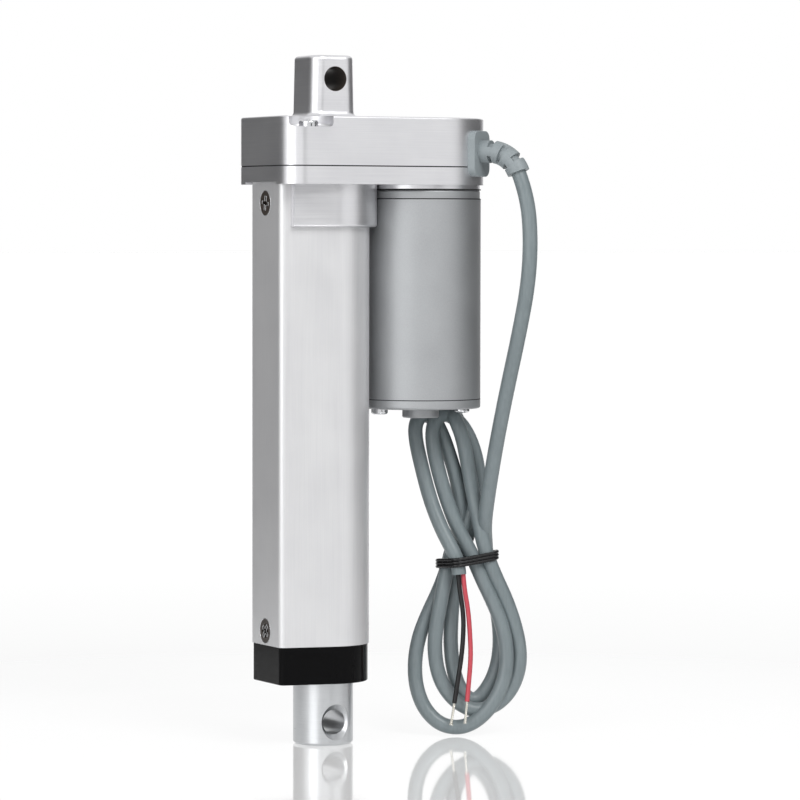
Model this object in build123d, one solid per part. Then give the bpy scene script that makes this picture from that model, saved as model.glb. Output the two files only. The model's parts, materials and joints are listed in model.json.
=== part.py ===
from build123d import *
from math import acos, atan2, cos, degrees, pi, radians, sin, sqrt, tan
import os

# Electric linear actuator, retracted, hanging from its rear tang.
# The origin is the centre of the rear pin hole. The rod runs down along -Z.
# The motor hangs beside the tube on the +X side, and the front of the object faces -Y.
# Lengths are in millimetres and angles in degrees.

# Overall sizes
stroke = 100.0
pin_below_cap = 13.3
pin_bore_d = 8.2
motor_offset = 36.5

# Rear tang, cast on the upper housing
tang_across = 16.6
tang_top_across = 15.6
tang_depth = 18.0
tang_corner_r = 4.1
tang_above_hole = 7.8
tang_edge_r = 1.4
tang_root_r = 2.0
hole_to_gearbox = 12.5

# Gearbox
gearbox_half = 20.9
gearbox_left = 23.05
gearbox_corner_r = 7.3
gearbox_edge_r = 0.7
upper_height = 16.1
lower_height = 5.8
gasket_thick = 0.4
gasket_inset = 0.25
wall = 2.3
ceiling = 2.4
floor_thick = 3.0

# Screws that close the gearbox
case_screw_d = 4.0
case_screw_head_d = 6.4
case_screw_head_h = 2.2
case_boss_r = 3.9
corner_screw_x = -13.4
corner_screw_y = 16.4
corner_pocket_r = 8.2
pocket_depth = 3.6
pocket_floor = 2.2
pocket_fillet = 1.2
motor_end_screw_y = 15.6
case_screw_bite = 1.6

# Outer tube: a round bore side and a flat nose on the -X side
tube_r = 15.3
tube_nose = 21.3
tube_nose_half = 11.84
tube_corner_r = 2.3
tube_wall = 2.0
tube_beyond_stroke = 53.1
tube_seat = 0.7
slide_in = 0.12

# Collar of the lower housing around the tube's front, motor side and back
collar_wall = 2.5
collar_height = 14.1
collar_open_x = 17.7
collar_edge_r = 1.0
spigot_depth = 9.4

# Countersunk screws in the tube's nose
tube_screw_head_d = 8.5
tube_screw_d = 4.4
tube_screw_length = 7.6
tube_screw_cone = 2.1
upper_tube_screw_z = -41.0
lower_tube_screw_up = 4.7

# Front cap, guide bush and wiper
cap_height = 12.5
cap_inset = 0.4
cap_spigot = 10.7
bush_wall = 2.2
bush_length = 14.0
wiper_wall = 2.6
wiper_height = 5.5
wiper_lip = 1.2
running_fit = 0.05
wiper_fit = 0.02

# Rod and rod end
rod_d = 20.0
rod_bore_d = 15.0
rod_tip = 7.8
rod_chamfer = 0.8
rod_joint_inset = 1.7
rod_end_spigot = 12.0
pin_chamfer = 1.1

# Lead screw and nut
screw_d = 9.0
screw_tail = 4.0
nut_height = 15.0
nut_neck = 12.0
nut_side_gap = 0.35
nut_nose_gap = 2.1
journal_d = 8.0
screw_collar_d = 12.0
screw_collar_h = 2.0
gear_seat_d = 6.0

# Ball bearing of the lead screw
bearing_od = 19.0
bearing_width = 6.0
bearing_lip = 1.8
ball_d = 3.4
ball_count = 7
ball_gap = 0.03
race_step = 0.95
circlip_thick = 1.0
circlip_bite = 0.7
cage_height = 4.8
cage_wall = 0.9

# Gear train: motor pinion, idler with wheel and pinion, screw gear
gear_module = 0.75
pressure_angle = 25.0
backlash = 0.12
motor_pinion_teeth = 12
idler_wheel_teeth = 37
idler_pinion_teeth = 13
screw_gear_teeth = 36
wheel_face = 5.0
gear_level_gap = 0.7
gear_floor_gap = 1.8
pinion_overhang = 0.5
idler_shaft_d = 3.0
idler_hub = 0.7
idler_boss_r = 3.6

# Motor
motor_r = 20.1
can_wall = 1.4
can_length = 66.7
pad_height = 1.35
pad_inset = 0.35
seam_gap = 0.3
seam_depth = 0.9
can_seam_depth = 0.35
bell_height = 2.85
bell_inset = 0.3
bell_spigot = 3.0
bell_edge_r = 0.7
end_cap_height = 3.0
end_cap_edge_r = 0.8
end_boss_r = 6.2
end_boss_height = 3.3
end_boss_edge_r = 0.6
end_screw_reach = 15.5
end_screw_d = 3.0
end_screw_head_d = 5.6
end_screw_head_h = 1.9
motor_shaft_d = 3.2
motor_bush_d = 7.6
motor_bush_length = 5.0
magnet_thick = 3.0
magnet_overhang = 4.0
magnet_angle = 132.0
air_gap = 0.6
can_beyond_core = 24.7
slot_count = 5
slot_mouth = 2.0
slot_root_r = 8.0
tooth_stem = 4.6
core_rim = 2.4
end_turn = 4.5
commutator_r = 4.6
commutator_length = 6.0
commutator_gap = 1.95
commutator_neck = 0.4
commutator_slit = 0.5
brush_width = 4.0
brush_length = 6.0
brush_height = 4.4
brush_box_wall = 1.2
mount_screw_reach = 8.5
mount_screw_d = 3.0
mount_screw_head_d = 5.4
mount_screw_head_h = 1.8

# Limit-switch board inside the tube's nose
board_thick = 1.2
board_width = 14.0
board_end_gap = 1.0
switch_width = 12.0
switch_depth = 6.2
switch_height = 6.2
plunger_d = 1.6
plunger_out = 1.0
plunger_travel = 0.5
plunger_gap = 0.3
switch_above_cap = 1.0

# Cable grommet with its slotted boot
grommet_turn = -52.0
grommet_width = 12.6
grommet_height = 15.3
grommet_corner_r = 3.0
grommet_edge_r = 0.35
grommet_face = 22.5
grommet_below_top = 11.85
grommet_neck_w = 8.0
grommet_neck_h = 9.1
grommet_flange = 1.5
boot_d = 7.6
boot_core_d = 5.3
boot_lead = 2.8
boot_bend_r = 11.2
boot_bend = 68.0
boot_slots = 3
boot_first_slot = 2.0
boot_slot = 8.4
boot_pitch = 21.0
boot_rib = 3.0

# Cable, hank, tie and leads
cable_d = 5.0
exit_run = 8.2
hank_turn = -26.0
hank_thick = 11.0
hank_edge_r = 3.0
hank_lean = 4.1
hank_back = 20.6
tie_height = 4.0
tie_thick = 0.9
tie_z = -161.6
tie_left = 39.3
tie_right = 58.5
tail_across = 45.6
tail_top = -157.5
tail_end = -166.2
lead_d = 1.5
tinned_d = 1.0

# Levels worked out from the sizes above
gearbox_top = -hole_to_gearbox
seam_top = gearbox_top - upper_height
seam_bottom = seam_top - gasket_thick
gearbox_bottom = seam_bottom - lower_height
ceiling_z = gearbox_top - ceiling
floor_z = gearbox_bottom + floor_thick
tube_top = gearbox_bottom + tube_seat
tube_bottom = tube_top - stroke - tube_beyond_stroke
cap_bottom = tube_bottom - cap_height
cap_spigot_top = tube_bottom + cap_spigot
spigot_bottom = tube_top - spigot_depth - tube_seat
hole_to_hole = pin_below_cap - cap_bottom
tip_bottom = -hole_to_hole - rod_tip
lower_tube_screw_z = tube_bottom + lower_tube_screw_up
tube_inner = tube_wall + slide_in
rod_r = rod_d / 2
rod_bore_r = rod_bore_d / 2

bearing_top = floor_z - bearing_lip
bearing_bottom = bearing_top - bearing_width
bearing_mid = bearing_top - bearing_width / 2
ball_track_r = (bearing_od + journal_d) / 4
inner_race_r = ball_track_r - race_step
outer_race_r = ball_track_r + race_step

lower_gear_bottom = floor_z + gear_floor_gap
lower_gear_top = lower_gear_bottom + wheel_face
upper_gear_bottom = lower_gear_top + gear_level_gap
upper_gear_top = upper_gear_bottom + wheel_face

first_centres = gear_module * (motor_pinion_teeth + idler_wheel_teeth) / 2
second_centres = gear_module * (idler_pinion_teeth + screw_gear_teeth) / 2
idler_x = (motor_offset**2 + second_centres**2 - first_centres**2) / (2 * motor_offset)
idler_y = sqrt(second_centres**2 - idler_x**2)

lower_switch_top = cap_spigot_top + switch_above_cap + switch_height
lower_plunger_tip = lower_switch_top + plunger_out
nut_bottom = lower_plunger_tip + plunger_gap + stroke
nut_top = nut_bottom + nut_height
rod_top = nut_bottom
rod_joint = cap_bottom + rod_joint_inset
screw_bottom = nut_bottom - stroke - screw_tail

pad_bottom = gearbox_bottom - pad_height
bell_top = pad_bottom - seam_gap
bell_bottom = bell_top - bell_height
can_top = bell_bottom - seam_gap
can_bottom = can_top - can_length
end_cap_top = can_bottom - seam_gap
end_cap_bottom = end_cap_top - end_cap_height
end_boss_bottom = end_cap_bottom - end_boss_height
can_inner_r = motor_r - can_wall
magnet_inner_r = can_inner_r - magnet_thick
core_r = magnet_inner_r - air_gap
commutator_bottom = can_bottom + commutator_gap
commutator_top = commutator_bottom + commutator_length
core_bottom = commutator_top + commutator_neck + end_turn
core_top = core_bottom + can_length - can_beyond_core

grommet_mid = gearbox_top - grommet_below_top
boot_z = grommet_mid + 0.7

motor_place = Pos(motor_offset, 0, 0)
bottom_up = (Align.CENTER, Align.CENTER, Align.MIN)


def pillar(radius, top, bottom, x=0.0, y=0.0):
    """A vertical cylinder between two heights."""
    return Pos(x, y, bottom) * Cylinder(radius, top - bottom, align=bottom_up)


def ring(outer, inner, top, bottom, x=0.0, y=0.0):
    """A vertical sleeve between two heights."""
    return pillar(outer, top, bottom, x, y) - pillar(inner, top, bottom, x, y)


def block(x0, x1, y0, y1, z0, z1):
    """A box between two corners."""
    return Pos(x0, y0, z0) * Box(x1 - x0, y1 - y0, z1 - z0, align=(Align.MIN, Align.MIN, Align.MIN))


def prism(outline, top, bottom):
    """A flat outline raised between two heights."""
    return Pos(0, 0, bottom) * extrude(outline, top - bottom)


def turned(*profile):
    """A solid turned about the Z axis from (radius, height) corners."""
    outline = Plane.XZ * make_face(Polyline(*profile, close=True))
    return revolve(outline, Axis.Z)


def at_angle(angle, shape):
    """A shape turned about the Z axis."""
    return Rot(0, 0, angle) * shape


def tube_outline(inset):
    """The tube's section: a round side and a flat nose, set in from the outer skin."""
    corner = max(tube_corner_r - inset, 0.4)
    corner_x = inset + corner - tube_nose
    corner_y = tube_nose_half - inset - corner
    circles = [Circle(tube_r - inset)]
    for side in (-1, 1):
        circles.append(Pos(corner_x, side * corner_y) * Circle(corner))
    return make_hull([circle.edge() for circle in circles])


def gearbox_outline(inset):
    """The gearbox seen from above: round at the motor, rounded corners at the tube."""
    corner = max(gearbox_corner_r - inset, 0.4)
    corner_x = inset + corner - gearbox_left
    corner_y = gearbox_half - inset - corner
    circles = [Pos(motor_offset, 0) * Circle(gearbox_half - inset)]
    for side in (-1, 1):
        circles.append(Pos(corner_x, side * corner_y) * Circle(corner))
    return make_hull([circle.edge() for circle in circles])


def case_screw_places():
    """The four screws that close the gearbox."""
    corners = [(corner_screw_x, side * corner_screw_y) for side in (-1, 1)]
    motor_end = [(motor_offset, side * motor_end_screw_y) for side in (-1, 1)]
    return corners + motor_end


def case_bosses(top, bottom):
    """The pillars that the gearbox screws pass through."""
    pillars = [pillar(case_boss_r, top, bottom, x, y) for x, y in case_screw_places()]
    return Compound(children=pillars)


def cavity(top, bottom):
    """The hollow of the gearbox, left open around the screw pillars."""
    hollow = prism(gearbox_outline(wall), top, bottom)
    for x, y in case_screw_places():
        hollow -= pillar(case_boss_r, top, bottom, x, y)
    return hollow


def grommet_place(shape):
    """Turn a shape from the +X side of the motor axis to the grommet's place."""
    return motor_place * at_angle(grommet_turn, shape)


def make_upper_housing():
    """Die-cast upper housing with the rear tang."""
    body = prism(gearbox_outline(0), gearbox_top, seam_top)
    body = fillet(body.faces().sort_by(Axis.Z)[-1].edges(), gearbox_edge_r)
    for side in (-1, 1):
        pocket_z = gearbox_top - pocket_depth
        pocket = pillar(corner_pocket_r, 1.0, pocket_z, corner_screw_x, side * corner_screw_y)
        pocket = fillet(pocket.faces().sort_by(Axis.Z)[0].edges(), pocket_fillet)
        body -= pocket
        counterbore_z = gearbox_top - case_screw_head_h - 0.3
        counterbore_r = case_screw_head_d / 2 + 0.5
        body -= pillar(counterbore_r, 1.0, counterbore_z, motor_offset, side * motor_end_screw_y)

    hollow = cavity(ceiling_z, seam_top)
    shelf_z = gearbox_top - pocket_depth - pocket_floor
    for side in (-1, 1):
        hollow -= pillar(corner_pocket_r + wall, 1.0, shelf_z, corner_screw_x, side * corner_screw_y)
    hollow -= pillar(idler_boss_r, ceiling_z, upper_gear_top + idler_hub + 0.2, idler_x, idler_y)
    body -= hollow
    body -= pillar(idler_shaft_d / 2, ceiling_z + 0.9, seam_top, idler_x, idler_y)
    for x, y in case_screw_places():
        body -= pillar(case_screw_d / 2 + 0.2, gearbox_top, seam_top, x, y)
    half_neck = grommet_neck_w / 2
    neck = block(0, gearbox_half + 1, -half_neck, half_neck, seam_top, seam_top + grommet_neck_h)
    body -= grommet_place(neck) - pillar(gearbox_half - wall - 2.5, 0, seam_top - 1, motor_offset)

    foot = Pos(0, 0, gearbox_top - 1.0) * RectangleRounded(tang_across, tang_depth, tang_corner_r)
    head = Pos(0, 0, tang_above_hole) * RectangleRounded(tang_top_across, tang_depth, tang_corner_r)
    tang = loft([foot, head])
    tang = fillet(tang.faces().sort_by(Axis.Z)[-1].edges(), tang_edge_r)
    body += tang
    root = [
        edge
        for edge in body.edges()
        if abs(edge.center().Z - gearbox_top) < 0.01
        and abs(edge.center().X) < tang_across / 2 + 0.1
        and abs(edge.center().Y) < tang_depth / 2 + 0.1
    ]
    body = fillet(root, tang_root_r)
    bore = Rot(90, 0, 0) * Cylinder(pin_bore_d / 2, tang_depth + 2)
    return body - bore


def make_gasket():
    """Thin sheet gasket that fills the seam between the housings."""
    sheet = prism(gearbox_outline(gasket_inset), seam_top, seam_bottom)
    sheet -= cavity(seam_top, seam_bottom)
    for x, y in case_screw_places():
        sheet -= pillar(case_screw_d / 2 + 0.3, seam_top, seam_bottom, x, y)
    return sheet


def make_lower_housing():
    """Die-cast lower housing: floor, tube spigot with the bearing seat, collar and motor pad."""
    body = prism(gearbox_outline(0), seam_bottom, gearbox_bottom)
    body -= cavity(seam_bottom, floor_z)
    body -= prism(tube_outline(-slide_in), tube_top, gearbox_bottom)
    lip = block(-gearbox_left, -tube_nose + 1, -tube_nose_half, tube_nose_half, gearbox_bottom, tube_top)
    body -= lip

    collar = prism(tube_outline(-collar_wall), gearbox_bottom, gearbox_bottom - collar_height)
    collar = fillet(collar.faces().sort_by(Axis.Z)[0].edges(), collar_edge_r)
    open_side = block(-tube_nose - 9, -collar_open_x, -tube_r - 9, tube_r + 9, -hole_to_hole, gearbox_bottom)
    collar -= open_side
    collar -= prism(tube_outline(-slide_in), gearbox_bottom, gearbox_bottom - collar_height)
    collar -= pillar(motor_r + 0.4, gearbox_bottom, -hole_to_hole, motor_offset)
    body += collar

    body += prism(tube_outline(tube_inner), tube_top, spigot_bottom)
    pad = pillar(motor_r - pad_inset, gearbox_bottom, pad_bottom, motor_offset)
    pad += pillar(motor_r - seam_depth - pad_inset, pad_bottom, bell_top, motor_offset)
    body += pad - prism(tube_outline(-slide_in), gearbox_bottom, bell_top)

    body -= pillar(bearing_od / 2, bearing_top, spigot_bottom)
    body -= pillar(inner_race_r + 0.9, floor_z, bearing_top)
    body -= pillar(bearing_od / 2 + circlip_bite, bearing_bottom, bearing_bottom - circlip_thick)
    body -= pillar(idler_shaft_d / 2, floor_z, floor_z - 1.6, idler_x, idler_y)
    body -= pillar(motor_bush_d / 2 + 1.3, floor_z, bell_top, motor_offset)
    for side in (-1, 1):
        body -= pillar(mount_screw_d / 2 + 0.15, floor_z, bell_top, motor_offset, side * mount_screw_reach)
    for x, y in case_screw_places():
        body -= pillar(case_screw_d / 2, seam_bottom, gearbox_bottom + case_screw_bite, x, y)
    screw_hole = Rot(0, 90, 0) * Cylinder(tube_screw_d / 2, 2 * tube_screw_length)
    body -= Pos(-tube_nose, 0, upper_tube_screw_z) * screw_hole
    return body


def cross_recess(size, depth):
    """The cross that a driver turns, as a solid to cut from a head whose top is at z = 0."""
    bar = Box(size, size * 0.24, depth, align=(Align.CENTER, Align.CENTER, Align.MAX))
    return bar + Rot(0, 0, 90) * bar


def pan_screw(head_d, head_h, body_d, length):
    """A pan-head cross screw that hangs from z = 0 under its head."""
    head = Cylinder(head_d / 2, head_h, align=bottom_up)
    head = fillet(head.faces().sort_by(Axis.Z)[-1].edges(), head_h * 0.42)
    head -= Pos(0, 0, head_h) * cross_recess(head_d * 0.55, head_h * 0.6)
    return head + pillar(body_d / 2, 0, -length)


def make_case_screws():
    """The four pan-head screws of the gearbox."""
    screws = []
    for x, y in case_screw_places():
        corner = x < 0
        seat = gearbox_top - pocket_depth if corner else gearbox_top - case_screw_head_h - 0.3
        length = seat - gearbox_bottom - case_screw_bite - 0.2
        screw = pan_screw(case_screw_head_d, case_screw_head_h, case_screw_d, length)
        screws.append(Pos(x, y, seat) * screw)
    return Compound(children=screws)


def make_tube():
    """Anodised tube with two countersunk holes in its nose."""
    tube = prism(tube_outline(0), tube_top, tube_bottom)
    tube -= prism(tube_outline(tube_wall), tube_top, tube_bottom)
    for z in (upper_tube_screw_z, lower_tube_screw_z):
        tube -= Pos(-tube_nose, 0, z) * Rot(0, 90, 0) * countersink(0.0)
    return tube


def countersink(shrink):
    """A countersunk head and body along +Z, with the head's face at z = 0."""
    head_r = tube_screw_head_d / 2 - shrink
    body_r = tube_screw_d / 2 - shrink
    length = tube_screw_length
    return turned((0, 0), (head_r, 0), (body_r, tube_screw_cone), (body_r, length), (0, length))


def make_tube_screws():
    """The two dark countersunk screws in the tube's nose."""
    screws = []
    for z in (upper_tube_screw_z, lower_tube_screw_z):
        screw = countersink(0.02) - Rot(180, 0, 0) * cross_recess(tube_screw_head_d * 0.55, 1.2)
        screws.append(Pos(-tube_nose, 0, z) * Rot(0, 90, 0) * screw)
    return Compound(children=screws)


def make_front_cap():
    """Moulded front cap with its spigot in the tube."""
    cap = prism(tube_outline(cap_inset), tube_bottom, cap_bottom)
    cap = fillet(cap.faces().sort_by(Axis.Z)[0].edges(), 0.4)
    cap += prism(tube_outline(tube_inner), cap_spigot_top, tube_bottom)
    bush_bottom = cap_spigot_top - 0.8 - bush_length
    cap -= pillar(rod_r + 0.6, cap_spigot_top, cap_bottom)
    cap -= pillar(rod_r + bush_wall, cap_spigot_top, bush_bottom)
    cap -= pillar(rod_r + wiper_wall, cap_bottom + wiper_height, cap_bottom)
    screw_hole = Rot(0, 90, 0) * Cylinder(tube_screw_d / 2, 2 * tube_screw_length)
    cap -= Pos(-tube_nose, 0, lower_tube_screw_z) * screw_hole
    return cap


def make_guide_bush():
    """Plain bush that guides the rod in the cap."""
    top = cap_spigot_top - 0.8
    return ring(rod_r + bush_wall, rod_r + running_fit, top, top - bush_length)


def make_wiper():
    """Wiper ring with a tapered lip at the cap's mouth."""
    inner = rod_r + wiper_fit
    outer = rod_r + wiper_wall
    top = cap_bottom + wiper_height
    return turned(
        (inner, top),
        (outer, top),
        (outer, cap_bottom + wiper_lip),
        (outer - 0.8, cap_bottom + 0.1),
        (inner + 0.9, cap_bottom + 0.1),
        (inner, cap_bottom + wiper_lip),
    )


def make_rod_tube():
    """Aluminium rod, a tube from the nut to the rod end."""
    return ring(rod_r, rod_bore_r, rod_top, rod_joint)


def make_rod_end():
    """Rod end with its spigot in the rod, chamfered tip and cross hole."""
    body = pillar(rod_r, rod_joint, tip_bottom)
    body = chamfer(body.faces().sort_by(Axis.Z)[0].edges(), rod_chamfer)
    body += pillar(rod_bore_r, rod_joint + rod_end_spigot, rod_joint)
    pin_r = pin_bore_d / 2
    body -= Pos(0, 0, -hole_to_hole) * Rot(90, 0, 0) * Cylinder(pin_r, rod_d + 2)
    cone_depth = pin_chamfer + pin_r**2 / rod_d
    for side in (-1, 1):
        cone = turned(
            (0, rod_r - cone_depth),
            (pin_r, rod_r - cone_depth),
            (pin_r + cone_depth + 1, rod_r + 1),
            (0, rod_r + 1),
        )
        body -= Pos(0, 0, -hole_to_hole) * Rot(side * 90, 0, 0) * cone
    return body


def make_lead_nut():
    """Nut that fills the tube's section, so that it can't turn, with a neck in the rod."""
    flange = prism(tube_outline(tube_wall + nut_side_gap), nut_top, nut_bottom)
    nose_x = -tube_nose + tube_wall + nut_nose_gap
    flange -= block(-tube_nose, nose_x, -tube_r, tube_r, nut_bottom, nut_top)
    nut = flange + pillar(rod_bore_r, nut_bottom, nut_bottom - nut_neck)
    return nut - pillar(screw_d / 2 + running_fit, nut_top, nut_bottom - nut_neck)


def make_lead_screw():
    """Lead screw with its gear seat, bearing journal and thrust collar."""
    seat_r = gear_seat_d / 2
    journal_r = journal_d / 2
    shoulder = lower_gear_bottom - 0.6
    collar_bottom = bearing_bottom - screw_collar_h
    return turned(
        (0, lower_gear_top + 0.2),
        (seat_r, lower_gear_top + 0.2),
        (seat_r, shoulder),
        (journal_r, shoulder),
        (journal_r, bearing_bottom),
        (screw_collar_d / 2, bearing_bottom),
        (screw_collar_d / 2, collar_bottom),
        (screw_d / 2, collar_bottom),
        (screw_d / 2, screw_bottom + 1),
        (screw_d / 2 - 1, screw_bottom),
        (0, screw_bottom),
    )


def make_screw_spacer():
    """Spacer between the screw gear and the bearing's inner ring."""
    return ring(inner_race_r + 0.3, journal_d / 2, lower_gear_bottom - 0.6, bearing_top)


def involute_point(base_r, radius, half_angle):
    """A point of a tooth flank at a radius, where half_angle is the tooth's half width at the base."""
    ratio = min(base_r / radius, 1.0)
    roll = tan(acos(ratio)) - acos(ratio)
    angle = half_angle - roll
    return radius * cos(angle), radius * sin(angle)


def gear_outline(teeth):
    """An involute gear's outline with one tooth centred on +X."""
    pitch_r = gear_module * teeth / 2
    base_r = pitch_r * cos(radians(pressure_angle))
    tip_r = pitch_r + gear_module * 0.97
    root_r = pitch_r - gear_module * 1.25
    roll = tan(radians(pressure_angle)) - radians(pressure_angle)
    half_angle = pi / (2 * teeth) - backlash / (2 * pitch_r) + roll
    start_r = max(base_r, root_r)
    flank = [involute_point(base_r, r, half_angle) for r in (start_r, (start_r + tip_r) / 2, tip_r)]
    foot_angle = atan2(flank[0][1], flank[0][0])
    foot = (root_r * cos(foot_angle), root_r * sin(foot_angle))
    next_angle = 2 * pi / teeth - foot_angle
    next_foot = (root_r * cos(next_angle), root_r * sin(next_angle))
    next_start = (start_r * cos(next_angle), start_r * sin(next_angle))
    edges = []
    for tooth in range(teeth):
        parts = [ThreePointArc(*[(x, -y) for x, y in flank])]
        parts.append(Line((flank[2][0], -flank[2][1]), flank[2]))
        parts.append(ThreePointArc(flank[2], flank[1], flank[0]))
        if start_r > root_r + 0.001:
            parts.append(Line(flank[0], foot))
            parts.append(Line(foot, next_foot))
            parts.append(Line(next_foot, next_start))
        else:
            parts.append(Line(flank[0], next_start))
        edges += [Rot(0, 0, 360 * tooth / teeth) * part for part in parts]
    return make_face(Wire(edges))


def gear(teeth, top, bottom, turn, x, y):
    """A gear between two heights, turned so that a tooth points along the given angle."""
    return Pos(x, y, 0) * at_angle(turn, prism(gear_outline(teeth), top, bottom))


def mesh_turn(teeth, towards):
    """The turn that puts the middle of a tooth gap along an angle."""
    return towards + 180 / teeth


# The idler's angle as seen from the screw and from the motor
screw_to_idler = degrees(atan2(idler_y, idler_x))
motor_to_idler = degrees(atan2(idler_y, idler_x - motor_offset))


def make_motor_pinion():
    """Pinion pressed on the motor shaft, with a tooth on the line to the idler."""
    top = upper_gear_top + pinion_overhang
    bottom = upper_gear_bottom - pinion_overhang
    pinion = gear(motor_pinion_teeth, top, bottom, motor_to_idler, motor_offset, 0)
    return pinion - pillar(motor_shaft_d / 2, top, bottom, motor_offset)


def make_idler_gear():
    """Idler: the wheel that the motor turns, and the pinion that turns the screw gear."""
    wheel_turn = mesh_turn(idler_wheel_teeth, motor_to_idler + 180)
    pinion_turn = screw_to_idler + 180
    wheel = gear(idler_wheel_teeth, upper_gear_top, upper_gear_bottom, wheel_turn, idler_x, idler_y)
    low = lower_gear_bottom - pinion_overhang
    pinion = gear(idler_pinion_teeth, upper_gear_bottom, low, pinion_turn, idler_x, idler_y)
    hub = pillar(idler_boss_r - 0.4, upper_gear_top + idler_hub, upper_gear_top, idler_x, idler_y)
    bore = pillar(idler_shaft_d / 2 + running_fit, 0, low, idler_x, idler_y)
    return wheel + pinion + hub - bore


def make_idler_shaft():
    """Steel pin that carries the idler between floor and ceiling."""
    return pillar(idler_shaft_d / 2, ceiling_z + 0.9, floor_z - 1.6, idler_x, idler_y)


def make_screw_gear():
    """Gear on the end of the lead screw, with a light web."""
    turn = mesh_turn(screw_gear_teeth, screw_to_idler)
    body = gear(screw_gear_teeth, lower_gear_top, lower_gear_bottom, turn, 0, 0)
    body += pillar(inner_race_r, lower_gear_bottom, lower_gear_bottom - 0.6)
    dish = ring(gear_module * screw_gear_teeth / 2 - 3.2, inner_race_r, lower_gear_top, lower_gear_top - 1.6)
    body -= dish
    return body - pillar(gear_seat_d / 2, lower_gear_top, lower_gear_bottom - 0.6)


def race(outer, inner):
    """A bearing ring with the ball groove cut in it."""
    band = ring(outer, inner, bearing_top, bearing_bottom)
    return band - Pos(0, 0, bearing_mid) * Torus(ball_track_r, ball_d / 2 + ball_gap)


def ball_places():
    """The places of the bearing's balls."""
    first = Pos(ball_track_r, 0, bearing_mid)
    return [Rot(0, 0, 360 * i / ball_count) * first for i in range(ball_count)]


def make_balls():
    """The balls of the bearing."""
    return Compound(children=[place * Sphere(ball_d / 2) for place in ball_places()])


def make_cage():
    """Cage ring with a pocket for each ball."""
    half = cage_height / 2
    outer = ball_track_r + cage_wall / 2
    cage = ring(outer, outer - cage_wall, bearing_mid + half, bearing_mid - half)
    for place in ball_places():
        cage -= place * Rot(0, 90, 0) * Cylinder(ball_d / 2 + ball_gap, 3 * cage_wall)
    return cage


def make_circlip():
    """Retaining ring under the bearing, open at one side."""
    outer = bearing_od / 2 + circlip_bite
    clip = ring(outer, bearing_od / 2 - 1.4, bearing_bottom, bearing_bottom - circlip_thick)
    return clip - block(0, outer + 1, -2.0, 2.0, bearing_bottom - circlip_thick, bearing_bottom)


def make_motor_shaft():
    """Motor shaft from the pinion to the rear bush."""
    top = upper_gear_top + pinion_overhang + 0.2
    return pillar(motor_shaft_d / 2, top, end_boss_bottom + 1.0, motor_offset)


def make_motor_front_bell():
    """Front end bell: visible ring, spigot in the can and bush seat."""
    outer = motor_r - bell_inset
    bell = pillar(outer, bell_top, bell_bottom)
    bell = fillet(bell.faces().sort_by(Axis.Z)[-1].edges(), bell_edge_r)
    bell += pillar(outer - can_seam_depth, bell_bottom, can_top)
    bell += pillar(can_inner_r, can_top, can_top - bell_spigot)
    bell -= pillar(can_inner_r - 3.2, bell_bottom, can_top - bell_spigot)
    bell += pillar(motor_bush_d / 2 + 1.2, bell_top + 1.0, can_top - bell_spigot + 0.6)
    bell -= pillar(motor_bush_d / 2, bell_top + 1.0, can_top - bell_spigot)
    for side in (-1, 1):
        bell -= pillar(mount_screw_d / 2, bell_top, bell_bottom, 0, side * mount_screw_reach)
    return motor_place * bell


def make_motor_can():
    """Painted steel can of the motor."""
    return motor_place * ring(motor_r, can_inner_r, can_top, can_bottom)


def make_motor_end_cap():
    """Rear end cap with the bearing boss and brush boxes."""
    cap = pillar(motor_r, end_cap_top, end_cap_bottom)
    cap = fillet(cap.faces().sort_by(Axis.Z)[0].edges(), end_cap_edge_r)
    boss = pillar(end_boss_r, end_cap_bottom, end_boss_bottom)
    cap += fillet(boss.faces().sort_by(Axis.Z)[0].edges(), end_boss_edge_r)
    cap += pillar(motor_r - can_seam_depth, can_bottom, end_cap_top)
    brush_z = (commutator_top + commutator_bottom) / 2
    for side in (-1, 1):
        half = brush_width / 2 + brush_box_wall
        box_x = sorted((side * (commutator_r + brush_box_wall), side * (commutator_r + brush_length)))
        cap += block(*box_x, -half, half, can_bottom, brush_z + brush_height / 2 + brush_box_wall)
        cap -= brush_block(side)
        cap -= pillar(end_screw_d / 2, can_bottom, end_cap_bottom, side * end_screw_reach)
    cap -= pillar(motor_bush_d / 2, can_bottom, can_bottom - motor_bush_length)
    cap -= pillar(motor_shaft_d / 2 + 0.4, can_bottom, end_boss_bottom + 0.8)
    return motor_place * cap


def brush_block(side):
    """One carbon brush, about the motor's own axis."""
    ends = sorted((side * commutator_r, side * (commutator_r + brush_length - 0.8)))
    z = (commutator_top + commutator_bottom) / 2
    half = brush_width / 2
    return block(*ends, -half, half, z - brush_height / 2, z + brush_height / 2)


def make_brushes():
    """The two carbon brushes."""
    round_face = pillar(commutator_r + 0.05, commutator_top + 1, commutator_bottom - 1)
    return motor_place * Compound(children=[brush_block(side) - round_face for side in (-1, 1)])


def make_end_screws():
    """The two pan-head screws in the motor's end cap."""
    screws = []
    for side in (-1, 1):
        screw = pan_screw(end_screw_head_d, end_screw_head_h, end_screw_d, end_cap_height + seam_gap)
        place = Pos(motor_offset + side * end_screw_reach, 0, end_cap_bottom) * Rot(180, 0, 0)
        screws.append(place * screw)
    return Compound(children=screws)


def make_mount_screws():
    """The two screws that hold the motor under the gearbox floor."""
    screws = []
    length = floor_z - bell_bottom
    for side in (-1, 1):
        screw = pan_screw(mount_screw_head_d, mount_screw_head_h, mount_screw_d, length)
        screws.append(Pos(motor_offset, side * mount_screw_reach, floor_z) * screw)
    return Compound(children=screws)


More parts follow.
